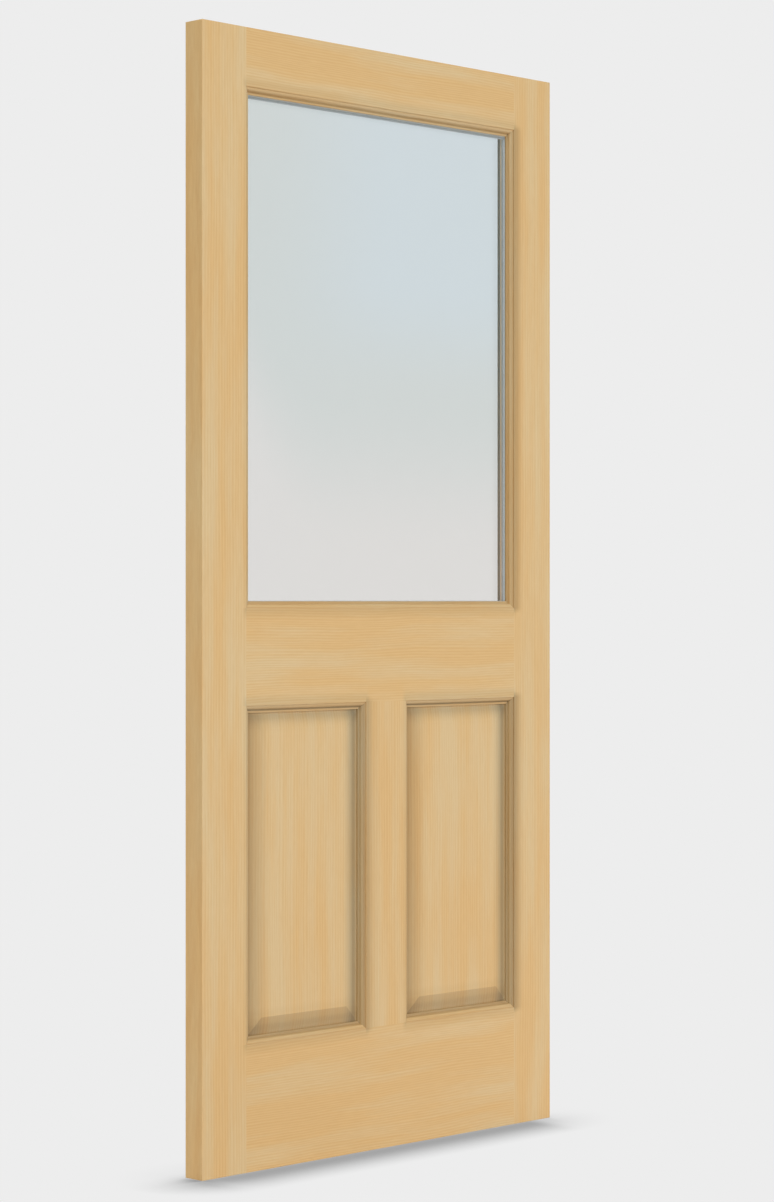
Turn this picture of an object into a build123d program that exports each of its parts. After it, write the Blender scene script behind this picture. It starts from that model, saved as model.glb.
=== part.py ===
"""A door leaf of clear fir: stiles and rails around one glazed light over two raised panels.

X runs across the leaf from the hinge stile to the lock stile, as seen from the front.
Y runs through the leaf from the front face to the back face, and Z is up.
The origin is the middle of the bottom edge. Sizes are in millimetres.

Every member carries the same moulding, called the sticking, on the edges that face an opening:
a small step down from the flat face (the quirk), a quarter round (the ovolo) and a ledge.
Rails and the mullion are coped over the sticking of the member they meet, so that the mouldings
turn each corner like a mitre, and their stub tongues fill that member's groove.
"""
import os
from math import cos, pi, sin

from build123d import *

os.makedirs("parts", exist_ok=True)

# Outline of the leaf
leaf_width = 914.4
leaf_height = 2032.0
arris_radius = 1.0

# Flat faces of the members, from one quirk line to the next
stile_face = 104.775
mullion_face = 104.775
top_rail_face = 104.775
lock_rail_face = 173.04
bottom_rail_face = 227.0
panel_opening_height = 601.0

# Sticking, and the groove that is ploughed between the front and the back sticking
quirk_depth = 1.5875
ovolo_radius = 7.9375
ledge_width = 4.7625
ledge_drop = 3.175
groove_width = 19.05

# Raised panels, which float in the grooves on small rubber spacers
panel_thickness = 28.575
panel_float = 3.175
tongue_clearance = 0.275
bevel_width = 31.0
hip_run = 16.0
hip_drop = 1.9
hip_radius = 60.0
panel_spacer_length = 25.0
panel_spacer_width = 9.5

# Dowels in the joints
dowel_diameter = 15.875
dowel_length = 127.0
dowel_pitch = 50.0
mullion_dowel_diameter = 9.525
mullion_dowel_length = 76.2
mullion_dowel_pitch = 48.0
glue_gap = 0.1
dowel_end_gap = 1.5
top_rail_dowel_count = 2
lock_rail_dowel_count = 3
bottom_rail_dowel_count = 4
mullion_dowel_count = 2

# Sealed double glass and its bedding
pane_thickness = 3.175
tape_thickness = 1.5875
tape_width = 8.0
glass_side_gap = 3.175
glass_top_gap = 7.0
setting_block_height = 3.175
setting_block_length = 101.6
edge_sealant_depth = 3.175
butyl_thickness = 0.3
spacer_height = 6.35
spacer_wall = 0.5
corner_key_leg = 28.0
spacer_filling_fit = 0.1
desiccant_end_gap = 0.5

# Brads that hold the loose glazing beads
brad_diameter = 1.2
brad_head_diameter = 1.9
brad_head_height = 0.6
brad_length = 25.4
brad_set = 0.4
brad_fit = 0.05
brad_end_gap = 0.5
brad_spacing = 200.0

# Sizes that follow
sticking_width = ovolo_radius + ledge_width
ledge_depth = quirk_depth + ovolo_radius
sticking_depth = ledge_depth + ledge_drop
leaf_thickness = groove_width + 2 * sticking_depth
half_thickness = leaf_thickness / 2
half_opening = leaf_width / 2 - stile_face
half_mullion = mullion_face / 2
lock_rail_base = bottom_rail_face + panel_opening_height
light_base = lock_rail_base + lock_rail_face
light_top = leaf_height - top_rail_face
light_width = 2 * half_opening
light_height = light_top - light_base
light_middle = (light_base + light_top) / 2
glass_width = light_width - 2 * glass_side_gap
glass_height = light_height - setting_block_height - glass_top_gap
glass_base = light_base + setting_block_height
glass_middle = glass_base + glass_height / 2
air_space = groove_width - 2 * (tape_thickness + pane_thickness)
spacer_depth = air_space - 2 * butyl_thickness
panel_opening_width = half_opening - half_mullion
panel_middle_x = half_mullion + panel_opening_width / 2
panel_middle_z = bottom_rail_face + panel_opening_height / 2
panel_width = panel_opening_width - 2 * panel_float
panel_height = panel_opening_height - 2 * panel_float
tongue_thickness = groove_width - 2 * tongue_clearance


def rail_plane(x):
    """Plane of a rail's section: first axis up, second to the back, extruding towards minus X."""
    return Plane(origin=(x, 0, 0), x_dir=(0, 0, 1), z_dir=(-1, 0, 0))


def face_plane(y):
    """Plane parallel to the faces of the leaf at y, extruding towards the front."""
    return Plane.XZ.offset(-y)


def sticking_outline(edge, inward, side):
    """Section of one moulded lip. It leaves the quirk line at edge in the direction inward (1 or
    -1) along the sketch's first axis, on the front (side -1) or the back (side 1)."""

    def at(across, depth):
        return (edge + inward * across, side * (half_thickness - depth))

    arc_middle = at(ovolo_radius * sin(pi / 4), ledge_depth - ovolo_radius * cos(pi / 4))
    with BuildSketch() as lip:
        with BuildLine():
            ThreePointArc(at(0, quirk_depth), arc_middle, at(ovolo_radius, ledge_depth))
            Polyline(
                at(ovolo_radius, ledge_depth),
                at(sticking_width, ledge_depth),
                at(sticking_width, sticking_depth),
                at(0, sticking_depth),
                at(0, quirk_depth),
            )
        make_face()
    return lip.sketch


def member_section(start, end, lips):
    """Section of a stile, rail or mullion with its flat from start to end along the first axis.
    Each lip is a tuple of the quirk line, its inward direction and its side."""
    with BuildSketch() as section:
        with Locations(((start + end) / 2, 0)):
            Rectangle(end - start, leaf_thickness)
        for lip in lips:
            add(sticking_outline(*lip))
    return section.sketch


def both_faces(edge, inward):
    """The front lip and the back lip on one quirk line."""
    return [(edge, inward, -1), (edge, inward, 1)]


def spread(middle, pitch, count):
    """Places spaced by pitch and centred on middle."""
    return [middle + (index - (count - 1) / 2) * pitch for index in range(count)]


top_rail_middle = (light_top + leaf_height) / 2
lock_rail_middle = (lock_rail_base + light_base) / 2
bottom_rail_middle = bottom_rail_face / 2
top_dowel_heights = spread(top_rail_middle, dowel_pitch, top_rail_dowel_count)
lock_dowel_heights = spread(lock_rail_middle, dowel_pitch, lock_rail_dowel_count)
bottom_dowel_heights = spread(bottom_rail_middle, dowel_pitch, bottom_rail_dowel_count)
mullion_dowel_places = spread(0, mullion_dowel_pitch, mullion_dowel_count)
mullion_joints = (bottom_rail_face, lock_rail_base)

# Outward direction of the member behind each bead, along X and Z
bead_sides = {"left": (-1, 0), "right": (1, 0), "top": (0, 1), "bottom": (0, -1)}


def rail_dowels(heights, gap, end_gap):
    """Dowels across both joints between a rail and the stiles, grown by gap and by end_gap when
    they stand for the bores."""
    length = dowel_length + 2 * end_gap
    with BuildPart() as dowels:
        for joint in (-half_opening, half_opening):
            with BuildSketch(Plane.YZ.offset(joint - length / 2)):
                with Locations([(0, height) for height in heights]):
                    Circle(dowel_diameter / 2 + gap)
            extrude(amount=length)
    return dowels.part


def mullion_dowel_set(gap, end_gap):
    """Dowels across both joints between the mullion and the rails, or their bores."""
    length = mullion_dowel_length + 2 * end_gap
    with BuildPart() as dowels:
        for joint in mullion_joints:
            with BuildSketch(Plane.XY.offset(joint - length / 2)):
                with Locations([(place, 0) for place in mullion_dowel_places]):
                    Circle(mullion_dowel_diameter / 2 + gap)
            extrude(amount=length)
    return dowels.part


def brad_plane(side):
    """Plane on a bead's inner side, facing the member that the bead is nailed to."""
    y = half_thickness - sticking_depth + ledge_drop / 2
    reach_x = half_opening - sticking_width
    reach_z = light_height / 2 - sticking_width
    outward_x, outward_z = bead_sides[side]
    origin = (outward_x * reach_x, y, light_middle + outward_z * reach_z)
    along = (-outward_z, 0, outward_x)
    return Plane(origin=origin, x_dir=along, z_dir=(outward_x, 0, outward_z))


def brads(sides, fit, end_gap):
    """Brads through the beads on the named sides, grown by fit and end_gap for their holes."""
    with BuildPart() as nails:
        for side in sides:
            length = light_height if bead_sides[side][0] else light_width
            count = max(2, round(length / brad_spacing))
            with BuildSketch(brad_plane(side).offset(brad_set)):
                with GridLocations(length / count, 1, count, 1):
                    Circle(brad_diameter / 2 + fit)
            extrude(amount=brad_length + end_gap)
            with BuildSketch(brad_plane(side).offset(brad_set - end_gap)):
                with GridLocations(length / count, 1, count, 1):
                    Circle(brad_head_diameter / 2 + fit)
            extrude(amount=brad_head_height + end_gap)
    return nails.part


def mitred_side(side, width, height, middle, reach):
    """Outline of one side of a mitred frame, seen from the front: the frame's outer size is width
    by height around the height middle, and each side is reach deep."""
    left, right = -width / 2, width / 2
    base, top = middle - height / 2, middle + height / 2
    outer = {"left_base": (left, base), "left_top": (left, top)}
    outer.update({"right_base": (right, base), "right_top": (right, top)})
    inner = {"left_base": (left + reach, base + reach), "left_top": (left + reach, top - reach)}
    inner.update({"right_base": (right - reach, base + reach), "right_top": (right - reach, top - reach)})
    corners = {
        "left": ("left_base", "left_top"),
        "right": ("right_base", "right_top"),
        "top": ("left_top", "right_top"),
        "bottom": ("left_base", "right_base"),
    }
    first, second = corners[side]
    with BuildSketch() as outline:
        with BuildLine():
            Polyline(outer[first], outer[second], inner[second], inner[first], close=True)
        make_face()
    return outline.sketch


def glass_ring(outer_inset, inner_inset):
    """Rectangular ring between two insets from the edge of the panes."""
    with BuildSketch() as ring:
        with Locations((0, glass_middle)):
            Rectangle(glass_width - 2 * outer_inset, glass_height - 2 * outer_inset)
            inner_width = glass_width - 2 * inner_inset
            Rectangle(inner_width, glass_height - 2 * inner_inset, mode=Mode.SUBTRACT)
    return ring.sketch


# The whole leaf as a block with eased arrises, which trims the outer members
with BuildPart() as leaf_block:
    Box(leaf_width, leaf_thickness, leaf_height, align=(Align.CENTER, Align.CENTER, Align.MIN))
    fillet(leaf_block.edges(), radius=arris_radius)

# Bores and nail holes
top_rail_bores = rail_dowels(top_dowel_heights, glue_gap, dowel_end_gap)
lock_rail_bores = rail_dowels(lock_dowel_heights, glue_gap, dowel_end_gap)
bottom_rail_bores = rail_dowels(bottom_dowel_heights, glue_gap, dowel_end_gap)
mullion_bores = mullion_dowel_set(glue_gap, dowel_end_gap)
side_nail_holes = brads(("left", "right"), brad_fit, brad_end_gap)
end_nail_holes = brads(("top", "bottom"), brad_fit, brad_end_gap)

# Stiles, over the full height, with the back lip cut away along the light for the glass
stiles = {}
for name, side in (("hinge_stile", -1), ("lock_stile", 1)):
    quirk_line = side * half_opening
    outer_edge = side * leaf_width / 2
    low, high = sorted((outer_edge, quirk_line))
    with BuildPart() as stile:
        with BuildSketch():
            add(member_section(low, high, both_faces(quirk_line, -side)))
        extrude(amount=leaf_height)
        with BuildSketch(Plane.XY.offset(light_base)):
            with Locations((quirk_line - side * sticking_width / 2, half_thickness - sticking_depth / 2)):
                Rectangle(sticking_width, sticking_depth)
        extrude(amount=light_height, mode=Mode.SUBTRACT)
        add(leaf_block.part, mode=Mode.INTERSECT)
        for bores in (top_rail_bores, lock_rail_bores, bottom_rail_bores, side_nail_holes):
            add(bores, mode=Mode.SUBTRACT)
    stile.part.label = name
    export_step(stile.part, f"parts/{name}.step")
    stiles[name] = stile.part

# Top rail, with only the front lip, because the glass is put in from the back
with BuildPart() as top_rail:
    with BuildSketch(rail_plane(half_opening)):
        add(member_section(light_top, leaf_height, [(light_top, -1, -1)]))
    extrude(amount=light_width)
    add(leaf_block.part, mode=Mode.INTERSECT)
    for cutter in (*stiles.values(), top_rail_bores, end_nail_holes):
        add(cutter, mode=Mode.SUBTRACT)
top_rail.part.label = "top_rail"
export_step(top_rail.part, "parts/top_rail.step")

# Lock rail between the light and the panels
with BuildPart() as lock_rail:
    with BuildSketch(rail_plane(half_opening)):
        lock_rail_lips = [(light_base, 1, -1), *both_faces(lock_rail_base, -1)]
        add(member_section(lock_rail_base, light_base, lock_rail_lips))
    extrude(amount=light_width)
    for cutter in (*stiles.values(), lock_rail_bores, mullion_bores, end_nail_holes):
        add(cutter, mode=Mode.SUBTRACT)
lock_rail.part.label = "lock_rail"
export_step(lock_rail.part, "parts/lock_rail.step")

# Bottom rail
with BuildPart() as bottom_rail:
    with BuildSketch(rail_plane(half_opening)):
        add(member_section(0, bottom_rail_face, both_faces(bottom_rail_face, 1)))
    extrude(amount=light_width)
    add(leaf_block.part, mode=Mode.INTERSECT)
    for cutter in (*stiles.values(), bottom_rail_bores, mullion_bores):
        add(cutter, mode=Mode.SUBTRACT)
bottom_rail.part.label = "bottom_rail"
export_step(bottom_rail.part, "parts/bottom_rail.step")

# Mullion between the two panels, coped over the rails
with BuildPart() as mullion:
    with BuildSketch(Plane.XY.offset(bottom_rail_face)):
        mullion_lips = both_faces(half_mullion, 1) + both_faces(-half_mullion, -1)
        add(member_section(-half_mullion, half_mullion, mullion_lips))
    extrude(amount=panel_opening_height)
    for cutter in (lock_rail.part, bottom_rail.part, mullion_bores):
        add(cutter, mode=Mode.SUBTRACT)
mullion.part.label = "mullion"
export_step(mullion.part, "parts/mullion.step")

# Dowels
with BuildPart() as top_rail_dowels:
    add(rail_dowels(top_dowel_heights, 0, 0))
top_rail_dowels.part.label = "top_rail_dowels"
export_step(top_rail_dowels.part, "parts/top_rail_dowels.step")

with BuildPart() as lock_rail_dowels:
    add(rail_dowels(lock_dowel_heights, 0, 0))
lock_rail_dowels.part.label = "lock_rail_dowels"
export_step(lock_rail_dowels.part, "parts/lock_rail_dowels.step")

with BuildPart() as bottom_rail_dowels:
    add(rail_dowels(bottom_dowel_heights, 0, 0))
bottom_rail_dowels.part.label = "bottom_rail_dowels"
export_step(bottom_rail_dowels.part, "parts/bottom_rail_dowels.step")

with BuildPart() as mullion_dowels:
    add(mullion_dowel_set(0, 0))
mullion_dowels.part.label = "mullion_dowels"
export_step(mullion_dowels.part, "parts/mullion_dowels.step")


def panel_section(middle, width):
    """Section of a raised panel: a tongue at each edge, then a bevel that rises over a soft hip
    to the sharp edge of the flat field."""
    foot = -width / 2 + sticking_width - panel_float
    field_edge = foot + bevel_width
    half_tongue = tongue_thickness / 2
    half_field = panel_thickness / 2
    hip = (field_edge - hip_run, half_field - hip_drop)
    with BuildSketch() as section:
        with Locations((middle, 0)):
            with BuildSketch(mode=Mode.PRIVATE) as centred:
                with BuildLine():
                    Polyline((-width / 2, 0), (-width / 2, half_tongue), (foot, half_tongue))
                    FilletPolyline((foot, half_tongue), hip, (field_edge, half_field), radius=hip_radius)
                    Line((field_edge, half_field), (0, half_field))
                    mirror(about=Plane.YZ)
                    mirror(about=Plane.XZ)
                make_face()
            add(centred.sketch)
    return section.sketch


# Raised panels: the section across and the section upright meet in mitred bevels
for name, side in (("left_panel", -1), ("right_panel", 1)):
    middle = side * panel_middle_x
    with BuildPart() as panel:
        with BuildSketch(Plane.XY.offset(panel_middle_z - panel_height / 2)):
            add(panel_section(middle, panel_width))
        extrude(amount=panel_height)
        with BuildSketch(rail_plane(middle + panel_width / 2)):
            add(panel_section(panel_middle_z, panel_height))
        extrude(amount=panel_width, mode=Mode.INTERSECT)
    panel.part.label = name
    export_step(panel.part, f"parts/{name}.step")

# Rubber spacers in the grooves, two under each panel and one at each upright edge
with BuildPart() as panel_spacers:
    for side in (-1, 1):
        middle = side * panel_middle_x
        for place in (middle - panel_width / 4, middle + panel_width / 4):
            with BuildSketch(Plane.XY.offset(bottom_rail_face)):
                with Locations((place, 0)):
                    Rectangle(panel_spacer_length, panel_spacer_width)
            extrude(amount=panel_float)
        for edge in (middle - panel_opening_width / 2, middle + panel_opening_width / 2 - panel_float):
            with BuildSketch(Plane.YZ.offset(edge)):
                with Locations((0, panel_middle_z)):
                    Rectangle(panel_spacer_width, panel_spacer_length)
            extrude(amount=panel_float)
panel_spacers.part.label = "panel_spacers"
export_step(panel_spacers.part, "parts/panel_spacers.step")

# Layers of the glazing, as the y of each layer's back
front_tape_back = -groove_width / 2 + tape_thickness
front_pane_back = front_tape_back + pane_thickness
rear_pane_front = front_pane_back + air_space
rear_pane_back = rear_pane_front + pane_thickness
rear_tape_back = rear_pane_back + tape_thickness
front_butyl_back = front_pane_back + butyl_thickness
spacer_sight = edge_sealant_depth + spacer_height

# Panes
for name, back in (("front_pane", front_pane_back), ("rear_pane", rear_pane_back)):
    with BuildPart() as pane:
        with BuildSketch(face_plane(back)):
            with Locations((0, glass_middle)):
                Rectangle(glass_width, glass_height)
        extrude(amount=pane_thickness)
    pane.part.label = name
    export_step(pane.part, f"parts/{name}.step")

# Glazing tapes, in front of and behind the sealed unit
for name, back in (("front_glazing_tape", front_tape_back), ("rear_glazing_tape", rear_tape_back)):
    with BuildPart() as tape:
        with BuildSketch(face_plane(back)):
            add(glass_ring(0, tape_width))
        extrude(amount=tape_thickness)
    tape.part.label = name
    export_step(tape.part, f"parts/{name}.step")

# Sealant around the edge of the unit, outside the spacer
with BuildPart() as edge_sealant:
    with BuildSketch(face_plane(rear_pane_front)):
        add(glass_ring(0, edge_sealant_depth))
    extrude(amount=air_space)
edge_sealant.part.label = "edge_sealant"
export_step(edge_sealant.part, "parts/edge_sealant.step")

# Butyl between the spacer and each pane
for name, back in (("front_butyl_seal", front_butyl_back), ("rear_butyl_seal", rear_pane_front)):
    with BuildPart() as seal:
        with BuildSketch(face_plane(back)):
            add(glass_ring(edge_sealant_depth, spacer_sight))
        extrude(amount=butyl_thickness)
    seal.part.label = name
    export_step(seal.part, f"parts/{name}.step")

# Hollow spacer bars, mitred at the corners
spacer_back = rear_pane_front - butyl_thickness
for side in bead_sides:
    with BuildPart() as spacer:
        with BuildSketch(face_plane(spacer_back)):
            add(glass_ring(edge_sealant_depth, spacer_sight))
        extrude(amount=spacer_depth)
        with BuildSketch(face_plane(spacer_back - spacer_wall)):
            add(glass_ring(edge_sealant_depth + spacer_wall, spacer_sight - spacer_wall))
        extrude(amount=spacer_depth - 2 * spacer_wall, mode=Mode.SUBTRACT)
        with BuildSketch(face_plane(spacer_back)):
            add(mitred_side(side, glass_width, glass_height, glass_middle, spacer_sight))
        extrude(amount=spacer_depth, mode=Mode.INTERSECT)
    spacer.part.label = f"spacer_{side}"
    export_step(spacer.part, f"parts/spacer_{side}.step")

# Corner keys and the drying beads fill the hollow of the bars in turn
filling_inset = spacer_wall + spacer_filling_fit
filling_back = spacer_back - filling_inset
filling_depth = spacer_depth - 2 * filling_inset
filling_ring = glass_ring(edge_sealant_depth + filling_inset, spacer_sight - filling_inset)
key_reach = edge_sealant_depth + corner_key_leg

with BuildPart() as spacer_corner_keys:
    with BuildSketch(face_plane(filling_back)):
        add(filling_ring)
        with Locations((0, glass_middle)):
            Rectangle(glass_width - 2 * key_reach, glass_height, mode=Mode.SUBTRACT)
            Rectangle(glass_width, glass_height - 2 * key_reach, mode=Mode.SUBTRACT)
    extrude(amount=filling_depth)
spacer_corner_keys.part.label = "spacer_corner_keys"
export_step(spacer_corner_keys.part, "parts/spacer_corner_keys.step")

key_square = key_reach + desiccant_end_gap
with BuildPart() as desiccant_fill:
    with BuildSketch(face_plane(filling_back)):
        add(filling_ring)
        with Locations((0, glass_middle)):
            with GridLocations(glass_width - key_square, glass_height - key_square, 2, 2):
                Rectangle(key_square, key_square, mode=Mode.SUBTRACT)
    extrude(amount=filling_depth)
desiccant_fill.part.label = "desiccant_fill"
export_step(desiccant_fill.part, "parts/desiccant_fill.step")

# Setting blocks under the glass, at its quarter points
with BuildPart() as setting_blocks:
    with BuildSketch(Plane.XY.offset(light_base)):
        with Locations([(-glass_width / 4, 0), (glass_width / 4, 0)]):
            Rectangle(setting_block_length, rear_pane_back - front_tape_back)
    extrude(amount=setting_block_height)
setting_blocks.part.label = "setting_blocks"
export_step(setting_blocks.part, "parts/setting_blocks.step")

# Loose beads behind the glass, with the same moulding as the sticking
for side, (outward_x, outward_z) in bead_sides.items():
    with BuildPart() as bead:
        if outward_x:
            with BuildSketch(Plane.XY.offset(light_base)):
                add(sticking_outline(outward_x * half_opening, -outward_x, 1))
            extrude(amount=light_height)
        else:
            quirk_height = light_middle + outward_z * light_height / 2
            with BuildSketch(rail_plane(half_opening)):
                add(sticking_outline(quirk_height, -outward_z, 1))
            extrude(amount=light_width)
        with BuildSketch(face_plane(half_thickness)):
            add(mitred_side(side, light_width, light_height, light_middle, sticking_width))
        extrude(amount=sticking_depth, mode=Mode.INTERSECT)
        add(brads((side,), brad_fit, brad_end_gap), mode=Mode.SUBTRACT)
    bead.part.label = f"bead_{side}"
    export_step(bead.part, f"parts/bead_{side}.step")

# Brads
with BuildPart() as bead_brads:
    add(brads(tuple(bead_sides), 0, 0))
bead_brads.part.label = "bead_brads"
export_step(bead_brads.part, "parts/bead_brads.step")
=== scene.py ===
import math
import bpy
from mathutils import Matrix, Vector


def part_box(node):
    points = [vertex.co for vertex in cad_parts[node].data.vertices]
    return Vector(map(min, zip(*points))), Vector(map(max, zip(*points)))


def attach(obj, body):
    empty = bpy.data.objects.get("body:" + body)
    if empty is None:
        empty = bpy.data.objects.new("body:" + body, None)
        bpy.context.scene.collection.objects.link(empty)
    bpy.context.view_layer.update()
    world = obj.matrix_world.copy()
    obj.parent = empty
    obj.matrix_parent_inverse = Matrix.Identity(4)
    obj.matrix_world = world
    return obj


bl_info = {
    "name": "Fir Door Leaf Finish",
    "version": (1, 0, 0),
    "blender": (4, 5, 0),
    "location": "3D View > Sidebar > Door Leaf",
    "description": "Wood, glass and metal finishes for a glazed fir door leaf, and its studio",
    "category": "Object",
}

import bmesh
import bpy
from bpy.props import FloatProperty, FloatVectorProperty, PointerProperty
from bpy.types import Operator, Panel, PropertyGroup
from mathutils import Vector

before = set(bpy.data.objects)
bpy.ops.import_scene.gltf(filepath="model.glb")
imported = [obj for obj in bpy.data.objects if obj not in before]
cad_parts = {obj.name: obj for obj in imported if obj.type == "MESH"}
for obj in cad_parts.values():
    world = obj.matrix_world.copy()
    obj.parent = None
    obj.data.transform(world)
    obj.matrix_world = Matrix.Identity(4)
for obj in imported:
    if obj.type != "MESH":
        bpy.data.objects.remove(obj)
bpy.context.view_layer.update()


def linear(hex_colour):
    """Linear RGBA of an sRGB colour written as six hex digits."""
    channels = [int(hex_colour[i:i + 2], 16) / 255 for i in (0, 2, 4)]
    channels = [c / 12.92 if c <= 0.04045 else ((c + 0.055) / 1.055) ** 2.4 for c in channels]
    return (*channels, 1.0)


def add_node(tree, kind, settings=None, inputs=None):
    """Adds a node, gives it its settings, and sets or links its inputs."""
    node = tree.nodes.new(kind)
    for name, value in (settings or {}).items():
        setattr(node, name, value)
    for key, value in (inputs or {}).items():
        if isinstance(value, bpy.types.NodeSocket):
            tree.links.new(value, node.inputs[key])
        else:
            node.inputs[key].default_value = value
    return node


def new_material(name):
    """An empty node material with its tree and its output node."""
    material = bpy.data.materials.new(name)
    material.use_nodes = True
    material.node_tree.nodes.clear()
    output = add_node(material.node_tree, "ShaderNodeOutputMaterial")
    return material, material.node_tree, output


def dress(node_name, material):
    """Gives a CAD node one material on all its faces."""
    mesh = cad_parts[node_name].data
    mesh.materials.clear()
    mesh.materials.append(material)


# How each board lies in its log: the axis that its grain runs along, where its face starts across
# and along the grain in metres, how far its rings lean through the thickness, how wavy they are,
# how far apart its rings are in metres, and how much of it is warm rather than pale
BOARDS = {
    "hinge_stile": ("Z", 0.713, 0.40, 0.20, 0.6, 0.0066, 0.45),
    "lock_stile": ("Z", 1.522, 3.10, -0.24, 0.6, 0.0069, 0.58),
    "mullion": ("Z", 2.731, 5.20, 0.30, 0.7, 0.0066, 0.85),
    "top_rail": ("X", 3.377, 7.70, 0.26, 1.0, 0.0046, 0.80),
    "lock_rail": ("X", 4.218, 9.45, -0.18, 1.5, 0.0047, 0.66),
    "bottom_rail": ("X", 5.164, 12.10, 0.22, 1.3, 0.0047, 0.86),
    "left_panel": ("Z", 6.423, 14.35, 0.16, 0.6, 0.0066, 0.37),
    "right_panel": ("Z", 7.318, 16.60, -0.20, 0.6, 0.0067, 0.42),
    "bead_left": ("Z", 8.251, 18.10, 0.35, 0.4, 0.0050, 0.50),
    "bead_right": ("Z", 8.694, 20.90, -0.30, 0.4, 0.0050, 0.50),
    "bead_top": ("X", 9.143, 22.40, 0.32, 0.4, 0.0050, 0.50),
    "bead_bottom": ("X", 9.587, 24.70, -0.28, 0.4, 0.0050, 0.50),
}
FRAME_MEMBERS = ("hinge_stile", "lock_stile", "mullion", "top_rail", "lock_rail", "bottom_rail")
BEADS = ("bead_left", "bead_right", "bead_top", "bead_bottom")

# Outlines of the light and of the two panel openings, from one quirk line to the next: left, right,
# base and top in metres. The beads end on the light's lines, and the mullion on the panels' ones
MOULDING_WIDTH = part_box("bead_left")[1][0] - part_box("bead_left")[0][0]
LIGHT = (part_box("bead_left")[0][0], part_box("bead_right")[1][0],
         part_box("bead_bottom")[0][2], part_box("bead_top")[1][2])
HALF_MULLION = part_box("mullion")[1][0] - MOULDING_WIDTH
PANELS_BASE, PANELS_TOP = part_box("mullion")[0][2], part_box("mullion")[1][2]
LEFT_OPENING = (LIGHT[0], -HALF_MULLION, PANELS_BASE, PANELS_TOP)
RIGHT_OPENING = (HALF_MULLION, LIGHT[1], PANELS_BASE, PANELS_TOP)
# Sight line of the glass unit, where the spacer bars begin, with the same four places
SIGHT_LINE = (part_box("spacer_left")[1][0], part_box("spacer_right")[0][0],
              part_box("spacer_bottom")[1][2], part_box("spacer_top")[0][2])

# How the grain is drawn. The scales are per metre across the board, through it and along it, and
# the rings show more on the rails, whose grain runs along X
WANDER_SCALE = (6.0, 6.0, 3.4)
BLOTCH_SCALE = (28.0, 14.0, 2.8)
PATCH_SCALE = (80.0, 60.0, 14.0)
FIBRE_SCALE = (420.0, 420.0, 36.0)
RING_DEPTH = {"X": 1.6, "Z": 1.1}
FIBRE_DARK, FIBRE_LIGHT = (0.972, 0.953, 0.930, 1.0), (1.028, 1.047, 1.070, 1.0)

# How far the shade beside an opening reaches past its corners, in metres: at the mitres of the
# mouldings and on the flat
MITRE_REACH, FLAT_REACH = 0.0006, 0.011

# The studio. The floor lies a little under the leaf, the camera looks level, and the painted shadow on
# the floor keeps it as light as this polynomial of how open it is, from the third power down
FLOOR_REACH, FLOOR_DROP = 40.0, 0.0002
PAINTED_FLOOR_SHADOW = (-2.39, 6.21, -3.69, 0.87)
LAMP_DISTANCE = 5.0
CAMERA_PLACE = (-3.98, -3.9584, 1.01415)
CAMERA_TOWARDS = (0.7112, 0.7030)


class DoorLeafFir(PropertyGroup):
    """Colours and grain of the fir."""

    pale: FloatVectorProperty(
        name="Pale wood", description="Colour of the paler, greyer parts of the boards",
        subtype="COLOR", size=4, min=0.0, max=1.0, default=linear("dcbe8e"),
    )
    warm: FloatVectorProperty(
        name="Warm wood", description="Colour of the warmer, more orange parts of the boards",
        subtype="COLOR", size=4, min=0.0, max=1.0, default=linear("ddb57c"),
    )
    earlywood: FloatVectorProperty(
        name="Earlywood", description="How the pale, early part of each ring lightens the board",
        subtype="COLOR", size=4, min=0.0, max=2.0, default=(1.018, 1.042, 1.067, 1.0),
    )
    latewood: FloatVectorProperty(
        name="Latewood", description="How the dense, late part of each ring darkens the board",
        subtype="COLOR", size=4, min=0.0, max=2.0, default=(0.973, 0.942, 0.903, 1.0),
    )
    edge_tint: FloatVectorProperty(
        name="Edge tint", description="Colour that the sawn edges of a board take on under varnish",
        subtype="COLOR", size=4, min=0.0, max=1.0, default=linear("fdf6e7"),
    )
    roughness: FloatProperty(
        name="Varnish roughness", description="Roughness of the thin satin varnish",
        subtype="FACTOR", min=0.0, max=1.0, default=0.5,
    )
    edge_shade: FloatProperty(
        name="Shade beside openings",
        description="How much of the shade on and beside the mouldings shows",
        subtype="FACTOR", min=0.0, max=1.0, default=1.0,
    )


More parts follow.
